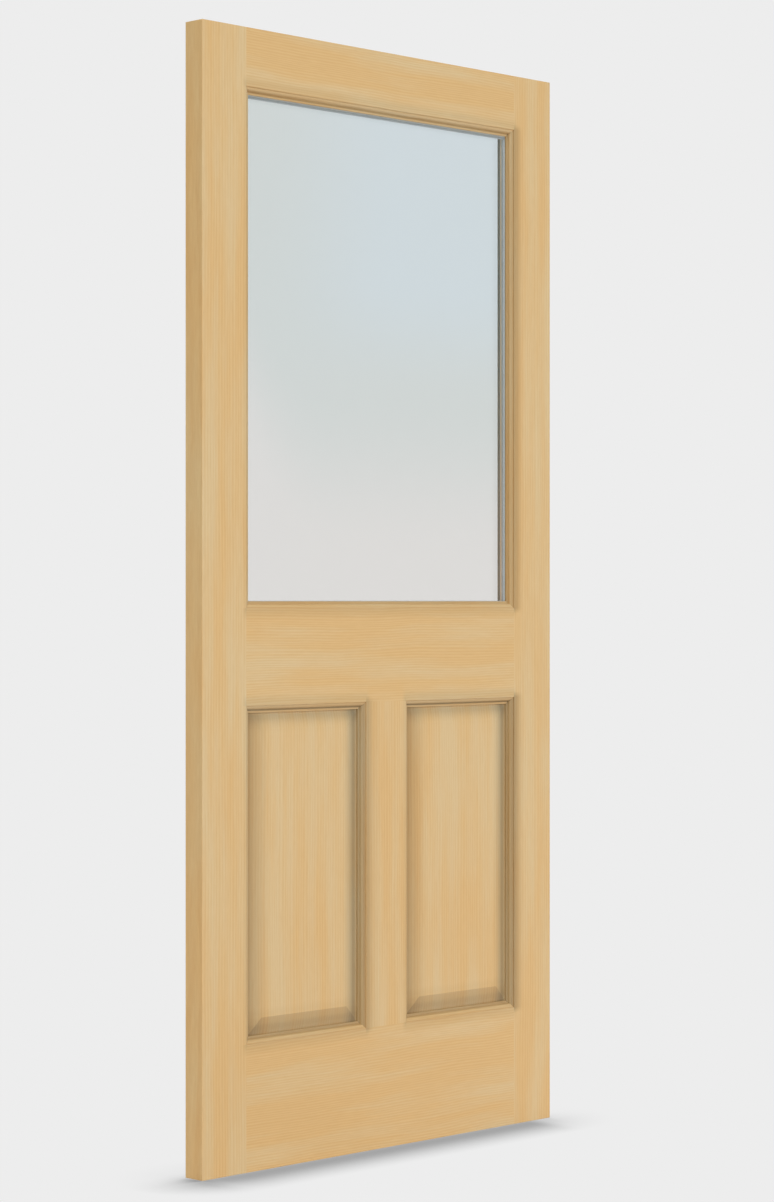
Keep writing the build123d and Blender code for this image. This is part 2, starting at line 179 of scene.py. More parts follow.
class DoorLeafGlazing(PropertyGroup):
    """Colours of the glass unit and its bedding."""

    glass: FloatVectorProperty(
        name="Glass", description="Tint that one pane gives to what is seen through it",
        subtype="COLOR", size=4, min=0.0, max=1.0, default=linear("f6f5f4"),
    )
    # Painted reflection: this tint and the next are painted on the pane in place of the room it
    # mirrors, from its middle up and high on the right
    painted_reflection_middle: FloatVectorProperty(
        name="Glass, higher up", description="Tint of a pane from its middle up",
        subtype="COLOR", size=4, min=0.0, max=1.0, default=linear("f0f2f1"),
    )
    painted_reflection_high: FloatVectorProperty(
        name="Glass, upper right",
        description="Cooler tint of a pane high up on the right, where it mirrors more sky",
        subtype="COLOR", size=4, min=0.0, max=1.0, default=linear("f0f4f6"),
    )
    spacer: FloatVectorProperty(
        name="Spacer bars", description="Colour of the folded metal bars between the panes",
        subtype="COLOR", size=4, min=0.0, max=1.0, default=linear("d0d0cd"),
    )
    # Painted reflection of the wood behind the glass, on the back of the bars
    spacer_painted_reflection: FloatVectorProperty(
        name="Spacer bars, back",
        description="Colour of the bars towards the back, where they mirror wood",
        subtype="COLOR", size=4, min=0.0, max=1.0, default=linear("eecb9e"),
    )
    tape: FloatVectorProperty(
        name="Front tape", description="Colour of the tape that beds the front pane",
        subtype="COLOR", size=4, min=0.0, max=1.0, default=linear("c4cbcc"),
    )
    rear_tape: FloatVectorProperty(
        name="Rear tape", description="Colour of the browner tape that beds the rear pane",
        subtype="COLOR", size=4, min=0.0, max=1.0, default=linear("e6d3b8"),
    )
    fillet: FloatVectorProperty(
        name="Sealant fillet", description="Colour of the thin fillet of sealant round the glass",
        subtype="COLOR", size=4, min=0.0, max=1.0, default=linear("acb3b4"),
    )
    sealant: FloatVectorProperty(
        name="Sealant", description="Colour of the seals inside the glass unit",
        subtype="COLOR", size=4, min=0.0, max=1.0, default=linear("a9afb0"),
    )


class DoorLeafStudio(PropertyGroup):
    """Floor, light and camera."""

    backdrop: FloatVectorProperty(
        name="Backdrop", description="Colour of the floor and the backdrop",
        subtype="COLOR", size=4, min=0.0, max=1.0, default=linear("ededed"),
    )
    room_low: FloatVectorProperty(
        name="Mirrored room, low",
        description="Colour that varnish and glass mirror near the horizon",
        subtype="COLOR", size=4, min=0.0, max=1.0, default=linear("dadace"),
    )
    room_high: FloatVectorProperty(
        name="Mirrored room, high", description="Cooler colour that they mirror higher up",
        subtype="COLOR", size=4, min=0.0, max=1.0, default=linear("7eceda"),
    )
    ambient: FloatProperty(
        name="Soft light", description="Strength of the even light from all round",
        min=0.0, max=2.0, default=0.405,
    )
    key: FloatProperty(
        name="Key lamp", description="Strength of the lamp in front and above",
        min=0.0, max=4.0, default=0.61,
    )
    fill: FloatProperty(
        name="Back lamp", description="Strength of the lamp behind the leaf",
        min=0.0, max=4.0, default=0.35,
    )
    shadow_reach: FloatProperty(
        name="Shadow reach", description="How far the soft shadow spreads over the floor",
        unit="LENGTH", min=0.01, max=1.0, default=0.14,
    )
    camera_lens: FloatProperty(
        name="Lens", description="Focal length of the camera in millimetres",
        min=20.0, max=200.0, default=90.35,
    )


# Shade on and beside the mouldings. Each entry gives a distance from the quirk line of an opening in
# mm, below zero towards the opening and above zero on the flat, then how much light stays there, and
# how much warmer or, below zero, cooler the shade is than the wood
FRAME_SHADE = {
    "right of the right panel": (
        (-15, 1.0, 0), (-14, 0.64, -1.4), (-12.4, 0.61, -1.4), (-11, 0.5, 0), (-8.5, 0.6, -0.6),
        (-6.5, 0.65, -0.9), (-4.5, 0.54, 0), (-2, 0.55, 0), (0, 0.59, 0.4), (1.5, 0.58, 0.4),
        (4, 0.66, 0.8), (10, 0.73, 1.2), (15, 0.845, 1), (21, 0.935, 0.6), (28, 0.99, 0),
        (40, 1.0, 0),
    ),
    "right of the left panel": (
        (-15, 1.0, 0), (-14, 0.64, -2), (-12.4, 0.61, -2), (-11, 0.52, -1.2), (-8.5, 0.62, -1.8),
        (-6.5, 0.65, -1.4), (-4.5, 0.56, -0.2), (-2, 0.58, 0.2), (-0.3, 0.72, 0.2),
        (0.7, 0.76, 0.2), (3.3, 0.725, 0.3), (6, 0.73, 0.3), (9, 0.8, 0.1), (14, 0.87, 0),
        (20, 0.94, 0), (27, 0.955, 0), (38, 1.0, 0),
    ),
    "right of the light": (
        (-15, 1.0, 0), (-14, 0.72, 0), (-12.4, 0.72, 0), (-11, 0.575, 0.8), (-8, 0.74, -0.2),
        (-6.5, 0.84, -0.6), (-4.5, 0.69, 0), (-2, 0.68, 0.2), (0, 0.69, 0.2), (1.5, 0.67, 0.4),
        (4, 0.73, 0.7), (10, 0.74, 1.2), (15, 0.86, 1.1), (21, 0.955, 0.6), (28, 1.0, 0),
    ),
    "left": (
        (-15, 1.0, 0), (-14, 0.82, 0), (-0.5, 0.88, 0), (2, 0.94, 0), (10, 1.0, 0),
    ),
    "over a panel": (
        (-10, 1.0, 0), (-9, 0.57, -0.4), (-7, 0.57, -0.4), (-5, 0.86, -0.4), (-1, 0.96, -0.6),
        (0, 0.9, -1.2), (8, 0.89, -1.2), (13, 0.925, -1.2), (21, 1.0, -1.2), (36, 1.0, 0),
    ),
    "over the light": (
        (-10, 1.0, 0), (-9, 0.85, 0), (-7, 0.85, 0), (-5, 0.95, 0), (-1, 1.0, 0), (0, 0.93, 0),
        (8, 0.89, 0), (13, 0.94, 0), (21, 1.0, 0),
    ),
    "under a panel": (
        (-15, 1.0, 0), (-14, 0.69, -0.3), (-9, 0.67, -0.3), (-7, 0.66, 0), (-5.5, 0.84, 0),
        (4, 0.885, 0), (13, 0.94, 0), (21, 1.0, 0),
    ),
    "under the light": (
        (-15, 1.0, 0), (-14, 0.78, 0), (-8, 0.8, 0), (-6.5, 0.88, 0), (4, 0.885, 0), (13, 0.94, 0),
        (21, 1.0, 0),
    ),
}
PANEL_SHADE = {
    "left": (
        (-70, 1.0, 0), (-58, 0.97, 0.6), (-48, 0.905, 1), (-40, 0.835, 1), (-32, 0.78, 1),
        (-27, 0.745, 1), (-22, 0.685, 1), (-18, 0.64, 1), (-12, 0.61, 1),
    ),
    "right": (
        (-54, 1.0, 0), (-50, 0.965, -0.2), (-46, 0.93, -0.4), (-43, 0.9, -0.6), (-37, 0.81, -0.8),
        (-31.5, 0.705, -1), (-28, 0.62, -1), (-25, 0.55, -0.8), (-22, 0.545, -0.9),
        (-19, 0.59, -1.2), (-16, 0.66, -1.2), (-14.5, 0.79, -1.4), (-12, 0.85, -1.4),
    ),
    "top": (
        (-52, 1.0, 0), (-44, 0.98, 0), (-35, 0.905, 0), (-29, 0.83, -0.2), (-24, 0.765, -0.5),
        (-19, 0.755, -1), (-17, 0.79, -1), (-15, 0.97, -1), (-12.7, 1.0, -1),
    ),
    "base": (
        (-62, 1.0, 0), (-50, 0.955, 0.4), (-45, 0.965, 0.6), (-40, 0.925, 1), (-34, 0.9, 1),
        (-29, 0.83, 0.8), (-23, 0.815, 0.6), (-18, 0.865, 0), (-12, 0.87, 0),
    ),
}
# How much green and blue a shade loses when its warmth is one
GREENER, BLUER = 0.028, 0.07


def new_shade(name):
    """An empty node group for a shade, with the part's places and their coordinates."""
    group = bpy.data.node_groups.new(name, "ShaderNodeTree")
    group.interface.new_socket("Shade", in_out="OUTPUT", socket_type="NodeSocketColor")
    place = add_node(group, "ShaderNodeTexCoord")
    split = add_node(group, "ShaderNodeSeparateXYZ", None, {0: place.outputs["Object"]})
    return group, place, split


def shade_ramp(group, coordinate, line, outwards, profile):
    """The colour of the shade at a distance outwards from the quirk line, after a profile."""
    start, end = profile[0][0] / 1000, profile[-1][0] / 1000
    distance = add_node(group, "ShaderNodeMapRange", None,
                        {"Value": coordinate, "From Min": line + outwards * start,
                         "From Max": line + outwards * end})
    ramp = add_node(group, "ShaderNodeValToRGB", None, {0: distance.outputs[0]})
    stops = ramp.color_ramp.elements
    for millimetres, _, _ in profile[1:-1]:
        stops.new((millimetres / 1000 - start) / (end - start))
    for stop, (_, light, warmth) in zip(stops, profile):
        stop.color = (light, light - GREENER * warmth, light - BLUER * warmth, 1.0)
    return ramp.outputs[0]


def past_span(group, coordinate, low, high):
    """How far a coordinate lies beyond a span, below zero inside it."""
    middle, half = (low + high) / 2, (high - low) / 2
    off_middle = add_node(group, "ShaderNodeMath", {"operation": "SUBTRACT"},
                          {0: coordinate, 1: middle})
    off_middle = add_node(group, "ShaderNodeMath", {"operation": "ABSOLUTE"},
                          {0: off_middle.outputs[0]})
    return add_node(group, "ShaderNodeMath", {"operation": "SUBTRACT"},
                    {0: off_middle.outputs[0], 1: half}).outputs[0]


def shade_beside_openings(strength):
    """Node group: how the frame darkens on and beside the mouldings, where light is lost into the
    openings. It darkens most on the right of an opening, less above and below, and hardly on the
    left."""
    group, _, split = new_shade("Shade beside openings")
    kept = (1.0, 1.0, 1.0, 1.0)
    openings = (
        (LIGHT, "the light", "the light"),
        (LEFT_OPENING, "a panel", "the left panel"),
        (RIGHT_OPENING, "a panel", "the right panel"),
    )
    for (left, right, base, top), name, own_name in openings:
        past_ends = past_span(group, split.outputs["Z"], base, top)
        past_sides = past_span(group, split.outputs["X"], left, right)
        # For each side: its axis, its line, the way outwards, its profile, and how far past its
        # corners
        sides = (
            ("X", right, 1, f"right of {own_name}", past_ends),
            ("X", left, -1, "left", past_ends),
            ("Z", top, 1, f"over {name}", past_sides),
            ("Z", base, -1, f"under {name}", past_sides),
        )
        for axis, line, outwards, profile, past_corner in sides:
            ramp = shade_ramp(group, split.outputs[axis], line, outwards, FRAME_SHADE[profile])
            outside = add_node(group, "ShaderNodeMath", {"operation": "MULTIPLY_ADD"},
                               {0: split.outputs[axis], 1: outwards, 2: -outwards * line})
            # On the mouldings the shade stops at the mitre, and on the flat it fades further out
            inside = add_node(group, "ShaderNodeMath", {"operation": "MINIMUM"},
                              {0: outside.outputs[0], 1: 0.0})
            past_mitre = add_node(group, "ShaderNodeMath", {"operation": "SUBTRACT"},
                                  {0: past_corner, 1: inside.outputs[0]})
            reach = add_node(group, "ShaderNodeMapRange", None,
                             {"Value": outside.outputs[0], "From Min": -0.0005, "From Max": 0.0,
                              "To Min": MITRE_REACH, "To Max": FLAT_REACH})
            share = add_node(group, "ShaderNodeMapRange", None,
                             {"Value": past_mitre.outputs[0], "From Min": 0.0,
                              "From Max": reach.outputs[0], "To Min": strength, "To Max": 0.0})
            kept = add_node(group, "ShaderNodeMix", {"data_type": "RGBA", "blend_type": "MULTIPLY"},
                            {"Factor": share.outputs[0], "A": kept, "B": ramp}).outputs["Result"]
    add_node(group, "NodeGroupOutput", None, {0: kept})
    return group


def shade_in_recess(name, opening):
    """Node group: how a raised panel darkens towards the mouldings round it. The bevel on the right
    darkens most, and the one at the foot turns away from the light."""
    left, right, base, top = opening
    group, place, split = new_shade(name)
    facing = add_node(group, "ShaderNodeSeparateXYZ", None, {0: place.outputs["Normal"]})
    kept = add_node(group, "ShaderNodeMapRange", None,
                    {"Value": facing.outputs["Z"], "From Min": -0.09, "From Max": -0.03,
                     "To Min": 0.84, "To Max": 1.0}).outputs[0]
    sides = (
        ("X", left, -1, "left"), ("X", right, 1, "right"),
        ("Z", base, -1, "base"), ("Z", top, 1, "top"),
    )
    for axis, line, outwards, profile in sides:
        ramp = shade_ramp(group, split.outputs[axis], line, outwards, PANEL_SHADE[profile])
        kept = add_node(group, "ShaderNodeMix", {"data_type": "RGBA", "blend_type": "MULTIPLY"},
                        {"Factor": 1.0, "A": kept, "B": ramp}).outputs["Result"]
    add_node(group, "NodeGroupOutput", None, {0: kept})
    return group


def shade_round_glass():
    """Node group: how the beads darken on the walls that face the glass, where little light comes."""
    group, _, split = new_shade("Shade round the glass")
    left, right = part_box("bead_left")[1][0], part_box("bead_right")[0][0]
    base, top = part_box("bead_bottom")[1][2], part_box("bead_top")[0][2]
    off_wall = add_node(group, "ShaderNodeMath", {"operation": "MAXIMUM"},
                        {0: past_span(group, split.outputs["X"], left, right),
                         1: past_span(group, split.outputs["Z"], base, top)})
    kept = add_node(group, "ShaderNodeMapRange", None,
                    {"Value": off_wall.outputs[0], "From Min": 0.0003, "From Max": 0.004,
                     "To Min": 0.55, "To Max": 1.0})
    add_node(group, "NodeGroupOutput", None, {0: kept.outputs[0]})
    return group


def fir_board(node_name, settings, shade):
    """Clear fir, planed and satin varnished: solid grain that follows the board, so that a face, an
    edge and an end of one board agree. The eye finds its length by the fine straight rings."""
    axis, across_start, along_start, lean, waviness, ring_spacing, warmth = BOARDS[node_name]
    board_name = node_name.replace("_", " ")
    material, tree, output = new_material(f"Clear fir, planed and satin varnished, {board_name}")
    place = add_node(tree, "ShaderNodeTexCoord")
    split = add_node(tree, "ShaderNodeSeparateXYZ", None, {0: place.outputs["Object"]})
    facing = add_node(tree, "ShaderNodeSeparateXYZ", None, {0: place.outputs["Normal"]})
    across, along = ("X", "Z") if axis == "Z" else ("Z", "X")
    board = add_node(tree, "ShaderNodeCombineXYZ", None,
                     {"X": split.outputs[across], "Y": split.outputs["Y"], "Z": split.outputs[along]})
    board = add_node(tree, "ShaderNodeMapping", None,
                     {"Vector": board.outputs[0], "Location": (across_start, 0.0, along_start)})

    # The rings wander slowly along the board, in waves 70 to 300 mm long
    slow = add_node(tree, "ShaderNodeMapping", None,
                    {"Vector": board.outputs[0], "Scale": WANDER_SCALE})
    wander = add_node(tree, "ShaderNodeTexNoise", {"noise_dimensions": "3D"},
                      {"Vector": slow.outputs[0], "Scale": 1.0, "Detail": 2.0, "Roughness": 0.4})
    wander = add_node(tree, "ShaderNodeMath", {"operation": "MULTIPLY_ADD"},
                      {0: wander.outputs["Fac"], 1: 0.014 * waviness, 2: -0.007 * waviness})
    parts = add_node(tree, "ShaderNodeSeparateXYZ", None, {0: board.outputs[0]})
    leaning = add_node(tree, "ShaderNodeMath", {"operation": "MULTIPLY_ADD"},
                       {0: parts.outputs["Y"], 1: lean, 2: parts.outputs["X"]})
    radius = add_node(tree, "ShaderNodeMath", None, {0: leaning.outputs[0], 1: wander.outputs[0]})
    growth = add_node(tree, "ShaderNodeTexNoise", {"noise_dimensions": "1D"},
                      {"W": radius.outputs[0], "Scale": 34.0, "Detail": 1.0})
    uneven = add_node(tree, "ShaderNodeMath", {"operation": "MULTIPLY_ADD"},
                      {0: growth.outputs["Fac"], 1: 0.008, 2: radius.outputs[0]})
    # The rings are drawn up to 7 mm apart, coarser than real ones, so that they show from afar
    ring_count = add_node(tree, "ShaderNodeMath", {"operation": "DIVIDE"},
                          {0: uneven.outputs[0], 1: ring_spacing})
    ring = add_node(tree, "ShaderNodeMath", {"operation": "FRACT"}, {0: ring_count.outputs[0]})
    late = add_node(tree, "ShaderNodeMapRange", {"interpolation_type": "SMOOTHSTEP"},
                    {"Value": ring.outputs[0], "From Min": 0.34, "From Max": 0.70})

    # Soft blotches, about 30 mm across and 300 mm long, change from pale to warm
    drifting = add_node(tree, "ShaderNodeCombineXYZ", None,
                        {"X": radius.outputs[0], "Y": parts.outputs["Y"], "Z": parts.outputs["Z"]})
    blotch_place = add_node(tree, "ShaderNodeMapping", None,
                            {"Vector": drifting.outputs[0], "Scale": BLOTCH_SCALE})
    blotch = add_node(tree, "ShaderNodeTexNoise", None,
                      {"Vector": blotch_place.outputs[0], "Scale": 1.0, "Detail": 3.0})
    blotch = add_node(tree, "ShaderNodeMapRange", None,
                      {"Value": blotch.outputs["Fac"], "From Min": 0.50 - 0.30 * warmth,
                       "From Max": 0.80 - 0.30 * warmth})
    ground = add_node(tree, "ShaderNodeMix", {"data_type": "RGBA"},
                      {"Factor": blotch.outputs[0], "A": settings.pale, "B": settings.warm})

    # The rings stand out in patches, 12 mm across and 70 mm long, most where the wood is warm and a
    # little less on the sawn edges
    depth = RING_DEPTH[axis]
    patch_place = add_node(tree, "ShaderNodeMapping", None,
                           {"Vector": drifting.outputs[0], "Scale": PATCH_SCALE})
    patch = add_node(tree, "ShaderNodeTexNoise", None,
                     {"Vector": patch_place.outputs[0], "Scale": 1.0, "Detail": 2.0})
    patch = add_node(tree, "ShaderNodeMapRange", {"interpolation_type": "SMOOTHSTEP"},
                     {"Value": patch.outputs["Fac"], "From Min": 0.34, "From Max": 0.64,
                      "To Min": 0.15 * depth, "To Max": 0.75 * depth})
    patch = add_node(tree, "ShaderNodeMath", {"operation": "MULTIPLY_ADD"},
                     {0: blotch.outputs[0], 1: 0.30 * depth, 2: patch.outputs[0]})
    edge = add_node(tree, "ShaderNodeMath", {"operation": "ABSOLUTE"}, {0: facing.outputs[across]})
    edge = add_node(tree, "ShaderNodeMapRange", None,
                    {"Value": edge.outputs[0], "From Min": 0.85, "From Max": 0.99})
    on_face = add_node(tree, "ShaderNodeMath", {"operation": "MULTIPLY_ADD"},
                       {0: edge.outputs[0], 1: -0.10, 2: 1.0})
    shown = add_node(tree, "ShaderNodeMath", {"operation": "MULTIPLY"},
                     {0: patch.outputs[0], 1: on_face.outputs[0]})
    ring_tint = add_node(tree, "ShaderNodeMix", {"data_type": "RGBA"},
                         {"Factor": late.outputs[0], "A": settings.earlywood, "B": settings.latewood})
    ringed = add_node(tree, "ShaderNodeMix", {"data_type": "RGBA", "blend_type": "MULTIPLY"},
                      {"Factor": shown.outputs[0], "A": ground.outputs["Result"],
                       "B": ring_tint.outputs["Result"]})

    # Fibres are drawn 2 mm wide, coarser than real ones, so that they are not lost from afar
    fibre_place = add_node(tree, "ShaderNodeMapping", None,
                           {"Vector": board.outputs[0], "Scale": FIBRE_SCALE})
    fibre = add_node(tree, "ShaderNodeTexNoise", None,
                     {"Vector": fibre_place.outputs[0], "Scale": 1.0, "Detail": 2.0, "Roughness": 0.6})
    fibre_depth = add_node(tree, "ShaderNodeMapRange", None,
                           {"Value": fibre.outputs["Fac"], "From Min": 0.3, "From Max": 0.7})
    fibre_tint = add_node(tree, "ShaderNodeMix", {"data_type": "RGBA"},
                          {"Factor": fibre_depth.outputs[0], "A": FIBRE_DARK, "B": FIBRE_LIGHT})
    # They show most on the sawn edges
    fibres_shown = add_node(tree, "ShaderNodeMath", {"operation": "MULTIPLY_ADD"},
                            {0: edge.outputs[0], 1: 0.36, 2: 0.64})
    ringed = add_node(tree, "ShaderNodeMix", {"data_type": "RGBA", "blend_type": "MULTIPLY"},
                      {"Factor": fibres_shown.outputs[0], "A": ringed.outputs["Result"],
                       "B": fibre_tint.outputs["Result"]})

    # End grain drinks varnish and turns darker, and the sawn edges turn a little browner
    end = add_node(tree, "ShaderNodeMath", {"operation": "ABSOLUTE"}, {0: facing.outputs[along]})
    end = add_node(tree, "ShaderNodeMapRange", None,
                   {"Value": end.outputs[0], "From Min": 0.75, "From Max": 0.95,
                    "To Min": 1.0, "To Max": 0.72})
    ringed = add_node(tree, "ShaderNodeMix", {"data_type": "RGBA", "blend_type": "MULTIPLY"},
                      {"Factor": edge.outputs[0], "A": ringed.outputs["Result"],
                       "B": settings.edge_tint})
    colour = add_node(tree, "ShaderNodeVectorMath", {"operation": "SCALE"},
                      {0: ringed.outputs["Result"], "Scale": end.outputs[0]})
    group = add_node(tree, "ShaderNodeGroup", {"node_tree": shade})
    colour = add_node(tree, "ShaderNodeVectorMath", {"operation": "MULTIPLY"},
                      {0: colour.outputs[0], 1: group.outputs[0]})

    height = add_node(tree, "ShaderNodeMath", {"operation": "MULTIPLY_ADD"},
                      {0: late.outputs[0], 1: 0.4, 2: fibre.outputs["Fac"]})
    bump = add_node(tree, "ShaderNodeBump", None,
                    {"Strength": 0.10, "Distance": 0.0004, "Height": height.outputs[0]})
    gloss = add_node(tree, "ShaderNodeMapRange", None,
                     {"Value": fibre.outputs["Fac"], "To Min": settings.roughness - 0.06,
                      "To Max": settings.roughness + 0.06})
    surface = add_node(tree, "ShaderNodeBsdfPrincipled", None,
                       {"Base Color": colour.outputs[0], "Roughness": gloss.outputs[0], "IOR": 1.45,
                        "Normal": bump.outputs[0]})
    tree.links.new(surface.outputs[0], output.inputs["Surface"])
    dress(node_name, material)


def rubbery(name, colour, roughness):
    """A rubbery material, as cut or squeezed into place. Dull and mottled in spots about 3 mm wide,
    it looks soft to the eye."""
    material, tree, output = new_material(name)
    place = add_node(tree, "ShaderNodeTexCoord")
    grain = add_node(tree, "ShaderNodeTexNoise", None,
                     {"Vector": place.outputs["Object"], "Scale": 350.0, "Detail": 3.0})
    tone = add_node(tree, "ShaderNodeMapRange", None,
                    {"Value": grain.outputs["Fac"], "To Min": 0.85, "To Max": 1.15})
    mottled = add_node(tree, "ShaderNodeVectorMath", {"operation": "SCALE"},
                       {0: colour[:3], "Scale": tone.outputs[0]})
    bump = add_node(tree, "ShaderNodeBump", None,
                    {"Strength": 0.2, "Distance": 0.0002, "Height": grain.outputs["Fac"]})
    surface = add_node(tree, "ShaderNodeBsdfPrincipled", None,
                       {"Base Color": mottled.outputs[0], "Roughness": roughness, "IOR": 1.5,
                        "Normal": bump.outputs[0]})
    tree.links.new(surface.outputs[0], output.inputs["Surface"])
    return material


class DOORLEAF_OT_frame_members(Operator):
    """Finish the stiles, the rails and the mullion in clear fir"""

    bl_idname = "doorleaf.frame_members"
    bl_label = "Stiles, Rails and Mullion"

    def execute(self, context):
        settings = context.scene.door_leaf_fir
        shade = shade_beside_openings(settings.edge_shade)
        for name in FRAME_MEMBERS:
            fir_board(name, settings, shade)
        return {"FINISHED"}


class DOORLEAF_OT_panels(Operator):
    """Finish the two raised panels in clear fir"""

    bl_idname = "doorleaf.panels"
    bl_label = "Raised Panels"

    def execute(self, context):
        for name, opening in (("left_panel", LEFT_OPENING), ("right_panel", RIGHT_OPENING)):
            shade = shade_in_recess(f"Shade on the {name.replace('_', ' ')}", opening)
            fir_board(name, context.scene.door_leaf_fir, shade)
        return {"FINISHED"}


class DOORLEAF_OT_beads(Operator):
    """Finish the glazing beads at the back in clear fir"""

    bl_idname = "doorleaf.beads"
    bl_label = "Glazing Beads"

    def execute(self, context):
        shade = shade_round_glass()
        for name in BEADS:
            fir_board(name, context.scene.door_leaf_fir, shade)
        return {"FINISHED"}


class DOORLEAF_OT_dowels(Operator):
    """Finish the dowels and the rubber spacers round the panels"""

    bl_idname = "doorleaf.dowels"
    bl_label = "Dowels and Panel Spacers"

    def execute(self, context):
        # Raw turned wood looks dull and warm. Its flecks are drawn 1 mm wide and 25 mm long
        material, tree, output = new_material("Turned beech, raw from the lathe")
        place = add_node(tree, "ShaderNodeTexCoord")
        stretched = add_node(tree, "ShaderNodeMapping", None,
                             {"Vector": place.outputs["Object"], "Scale": (40.0, 900.0, 900.0)})
        flecks = add_node(tree, "ShaderNodeTexNoise", None,
                          {"Vector": stretched.outputs[0], "Scale": 1.0, "Detail": 2.0})
        colour = add_node(tree, "ShaderNodeMix", {"data_type": "RGBA"},
                          {"Factor": flecks.outputs["Fac"], "A": linear("c7a37b"),
                           "B": linear("b58c62")})
        surface = add_node(tree, "ShaderNodeBsdfPrincipled", None,
                           {"Base Color": colour.outputs["Result"], "Roughness": 0.75, "IOR": 1.45})
        tree.links.new(surface.outputs[0], output.inputs["Surface"])
        for name in ("top_rail_dowels", "lock_rail_dowels", "bottom_rail_dowels", "mullion_dowels"):
            dress(name, material)
        dress("panel_spacers", rubbery("Foamed rubber, cut from strip", linear("3a3936"), 0.85))
        return {"FINISHED"}


class DOORLEAF_OT_panes(Operator):
    """Finish the two panes in clear float glass"""

    bl_idname = "doorleaf.panes"
    bl_label = "Glass Panes"

    def execute(self, context):
        # Polished glass mirrors sharply, and a faint ripple about 300 mm wide bends what it mirrors
        material, tree, output = new_material("Clear float glass, polished")
        place = add_node(tree, "ShaderNodeTexCoord")
        ripple = add_node(tree, "ShaderNodeTexNoise", None,
                          {"Vector": place.outputs["Object"], "Scale": 3.0, "Detail": 0.0})
        bump = add_node(tree, "ShaderNodeBump", None,
                        {"Strength": 0.05, "Distance": 0.0001, "Height": ripple.outputs["Fac"]})
        split = add_node(tree, "ShaderNodeSeparateXYZ", None, {0: place.outputs["Object"]})
        # Painted reflection: the tint changes from the middle up, and towards the left edge it changes
        # higher up
        near_left = add_node(tree, "ShaderNodeMapRange", None,
                             {"Value": split.outputs["X"], "From Min": -0.12, "From Max": -0.34})
        near_left = add_node(tree, "ShaderNodeMath", {"operation": "POWER"},
                             {0: near_left.outputs[0], 1: 2.0})
        lowered = add_node(tree, "ShaderNodeMath", {"operation": "MULTIPLY_ADD"},
                           {0: near_left.outputs[0], 1: -0.20, 2: split.outputs["Z"]})
        reflection_upper_half = add_node(tree, "ShaderNodeMapRange", {"interpolation_type": "SMOOTHSTEP"},
                              {"Value": lowered.outputs[0], "From Min": 1.10, "From Max": 1.40})
        # High up on the right, a painted reflection of sky turns it cooler
        high_up = add_node(tree, "ShaderNodeMapRange", {"interpolation_type": "SMOOTHSTEP"},
                           {"Value": split.outputs["Z"], "From Min": 1.38, "From Max": 1.62})
        to_right = add_node(tree, "ShaderNodeMapRange", {"interpolation_type": "SMOOTHSTEP"},
                            {"Value": split.outputs["X"], "From Min": -0.33, "From Max": 0.06})
        sky = add_node(tree, "ShaderNodeMath", {"operation": "MULTIPLY"},
                       {0: high_up.outputs[0], 1: to_right.outputs[0]})
        settings = context.scene.door_leaf_glazing
        tint = add_node(tree, "ShaderNodeMix", {"data_type": "RGBA"},
                        {"Factor": reflection_upper_half.outputs[0], "A": settings.glass,
                         "B": settings.painted_reflection_middle})
        tint = add_node(tree, "ShaderNodeMix", {"data_type": "RGBA"},
                        {"Factor": sky.outputs[0], "A": tint.outputs["Result"],
                         "B": settings.painted_reflection_high})
        surface = add_node(tree, "ShaderNodeBsdfPrincipled", None,
                           {"Base Color": tint.outputs["Result"], "Roughness": 0.0, "IOR": 1.5,
                            "Transmission Weight": 1.0, "Normal": bump.outputs[0]})
        tree.links.new(surface.outputs[0], output.inputs["Surface"])
        dress("front_pane", material)
        dress("rear_pane", material)
        return {"FINISHED"}


class DOORLEAF_OT_spacer_bars(Operator):
    """Finish the spacer bars between the panes, their corner keys and their filling"""

    bl_idname = "doorleaf.spacer_bars"
    bl_label = "Spacer Bars"

    def execute(self, context):
        # Rolled metal has a soft shine. Its streaks are drawn 1 mm wide and 17 mm long
        material, tree, output = new_material("Mill aluminium, rolled and folded")
        place = add_node(tree, "ShaderNodeTexCoord")
        rolled = add_node(tree, "ShaderNodeMapping", None,
                          {"Vector": place.outputs["Object"], "Scale": (900.0, 900.0, 60.0)})
        streaks = add_node(tree, "ShaderNodeTexNoise", None,
                           {"Vector": rolled.outputs[0], "Scale": 1.0, "Detail": 2.0})
        roughness = add_node(tree, "ShaderNodeMapRange", None,
                             {"Value": streaks.outputs["Fac"], "To Min": 0.38, "To Max": 0.52})
        # Painted reflection: towards the back the bars take a browner colour that stands in for the
        # wood behind the glass that they mirror
        split = add_node(tree, "ShaderNodeSeparateXYZ", None, {0: place.outputs["Object"]})
        reflection_backwards = add_node(tree, "ShaderNodeMapRange", None,
                             {"Value": split.outputs["Y"], "From Min": -0.0012, "From Max": 0.0034})
        settings = context.scene.door_leaf_glazing
        colour = add_node(tree, "ShaderNodeMix", {"data_type": "RGBA"},
                          {"Factor": reflection_backwards.outputs[0], "A": settings.spacer,
                           "B": settings.spacer_painted_reflection})
        surface = add_node(tree, "ShaderNodeBsdfPrincipled", None,
                           {"Base Color": colour.outputs["Result"], "Metallic": 1.0,
                            "Roughness": roughness.outputs[0]})
        tree.links.new(surface.outputs[0], output.inputs["Surface"])
        for name in ("spacer_left", "spacer_right", "spacer_top", "spacer_bottom"):
            dress(name, material)
        dress("spacer_corner_keys", rubbery("Black nylon, moulded", linear("26272a"), 0.5))
        dress("desiccant_fill", rubbery("Drying beads, packed", linear("b9a98a"), 0.9))
        return {"FINISHED"}


